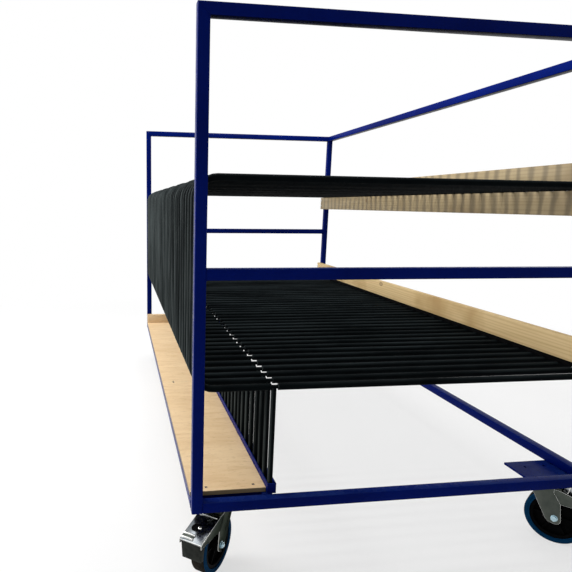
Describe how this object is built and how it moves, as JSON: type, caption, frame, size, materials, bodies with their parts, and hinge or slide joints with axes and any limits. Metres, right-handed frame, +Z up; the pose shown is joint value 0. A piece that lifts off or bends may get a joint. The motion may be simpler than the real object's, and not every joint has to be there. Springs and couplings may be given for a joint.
{
  "type": "storage trolley",
  "caption": "Tall open storage trolley: welded square tube frame on braked swivel castors, plywood floor strip, wooden boards, and bent tube frames whose legs stand in a channel.",
  "frame": {"origin": "on the ground under the middle of the frame", "axes": "+Z up, +Y from the front end to the rear end along the length, +X to the right seen from the front"},
  "size_m": [1.5446, 2.821, 1.753],
  "materials": {
    "frame_paint": "gloss",
    "plywood": "sanded",
    "pine": "planed",
    "black_tube": "satin",
    "zinc": "zinc plated",
    "tyre": "matte",
    "wheel_core": "matte",
    "brake_block": "matte"
  },
  "bodies": {
    "trolley_frame": {"front_left_post": "frame_paint", "front_right_post": "frame_paint", "rear_left_post": "frame_paint", "rear_right_post": "frame_paint", "front_top_rail": "frame_paint", "rear_top_rail": "frame_paint", "right_top_rail": "frame_paint", "front_middle_rail": "frame_paint", "rear_middle_rail": "frame_paint", "front_bottom_rail": "frame_paint", "rear_bottom_rail": "frame_paint", "left_bottom_rail": "frame_paint", "right_bottom_rail": "frame_paint", "inner_bottom_rail": "frame_paint", "floor_bearers": "frame_paint", "leg_channel": "frame_paint", "channel_end_plates": "frame_paint", "castor_mount_plates": "frame_paint", "front_floor_panel": "plywood", "rear_floor_panel": "plywood", "rear_floor_batten": "pine", "lower_board": "pine", "upper_board": "pine", "top_board": "pine", "front_tube_frames": "black_tube", "middle_tube_frames": "black_tube", "rear_tube_frames": "black_tube", "lower_board_strip": "brake_block", "floor_screws": "zinc", "board_screws": "zinc", "castor_top_plates": "zinc", "castor_kingpins": "zinc", "castor_bolts": "zinc"},
    "front_left_castor": {"front_left_fork": "zinc", "front_left_axle_bolt": "zinc"},
    "front_left_wheel": {"front_left_wheel_core": "wheel_core", "front_left_tyre": "tyre"},
    "front_left_brake": {"front_left_brake_pedal": "zinc", "front_left_brake_shoe": "brake_block"},
    "front_right_castor": {"front_right_fork": "zinc", "front_right_axle_bolt": "zinc"},
    "front_right_wheel": {"front_right_wheel_core": "wheel_core", "front_right_tyre": "tyre"},
    "front_right_brake": {"front_right_brake_pedal": "zinc", "front_right_brake_shoe": "brake_block"},
    "rear_left_castor": {"rear_left_fork": "zinc", "rear_left_axle_bolt": "zinc"},
    "rear_left_wheel": {"rear_left_wheel_core": "wheel_core", "rear_left_tyre": "tyre"},
    "rear_left_brake": {"rear_left_brake_pedal": "zinc", "rear_left_brake_shoe": "brake_block"},
    "rear_right_castor": {"rear_right_fork": "zinc", "rear_right_axle_bolt": "zinc"},
    "rear_right_wheel": {"rear_right_wheel_core": "wheel_core", "rear_right_tyre": "tyre"},
    "rear_right_brake": {"rear_right_brake_pedal": "zinc", "rear_right_brake_shoe": "brake_block"}
  },
  "joints": [
    {"name": "front_left_swivel", "type": "hinge", "parent": "trolley_frame", "child": "front_left_castor", "pos_m": [-0.618, -1.2305, 0.207], "axis": [0, 0, 1], "continuous": true},
    {"name": "front_left_wheel_spin", "type": "hinge", "parent": "front_left_castor", "child": "front_left_wheel", "pos_m": [-0.6503, -1.27125, 0.1], "axis": [0.7837, -0.6211, 0], "continuous": true},
    {"name": "front_left_brake_tip", "type": "hinge", "parent": "front_left_castor", "child": "front_left_brake", "pos_m": [-0.64782, -1.26812, 0.207], "axis": [0.7837, -0.6211, 0], "range_deg": [0, 8]},
    {"name": "front_right_swivel", "type": "hinge", "parent": "trolley_frame", "child": "front_right_castor", "pos_m": [0.618, -1.2305, 0.207], "axis": [0, 0, 1], "continuous": true},
    {"name": "front_right_wheel_spin", "type": "hinge", "parent": "front_right_castor", "child": "front_right_wheel", "pos_m": [0.6503, -1.27125, 0.1], "axis": [0.7837, 0.6211, 0], "continuous": true},
    {"name": "front_right_brake_tip", "type": "hinge", "parent": "front_right_castor", "child": "front_right_brake", "pos_m": [0.64782, -1.26812, 0.207], "axis": [0.7837, 0.6211, 0], "range_deg": [0, 8]},
    {"name": "rear_left_swivel", "type": "hinge", "parent": "trolley_frame", "child": "rear_left_castor", "pos_m": [-0.618, 1.2305, 0.207], "axis": [0, 0, 1], "continuous": true},
    {"name": "rear_left_wheel_spin", "type": "hinge", "parent": "rear_left_castor", "child": "rear_left_wheel", "pos_m": [-0.5857, 1.27125, 0.1], "axis": [-0.7837, 0.6211, 0], "continuous": true},
    {"name": "rear_left_brake_tip", "type": "hinge", "parent": "rear_left_castor", "child": "rear_left_brake", "pos_m": [-0.58818, 1.26812, 0.207], "axis": [-0.7837, 0.6211, 0], "range_deg": [0, 8]},
    {"name": "rear_right_swivel", "type": "hinge", "parent": "trolley_frame", "child": "rear_right_castor", "pos_m": [0.618, 1.2305, 0.207], "axis": [0, 0, 1], "continuous": true},
    {"name": "rear_right_wheel_spin", "type": "hinge", "parent": "rear_right_castor", "child": "rear_right_wheel", "pos_m": [0.5857, 1.27125, 0.1], "axis": [-0.7837, -0.6211, 0], "continuous": true},
    {"name": "rear_right_brake_tip", "type": "hinge", "parent": "rear_right_castor", "child": "rear_right_brake", "pos_m": [0.58818, 1.26812, 0.207], "axis": [-0.7837, -0.6211, 0], "range_deg": [0, 8]}
  ]
}
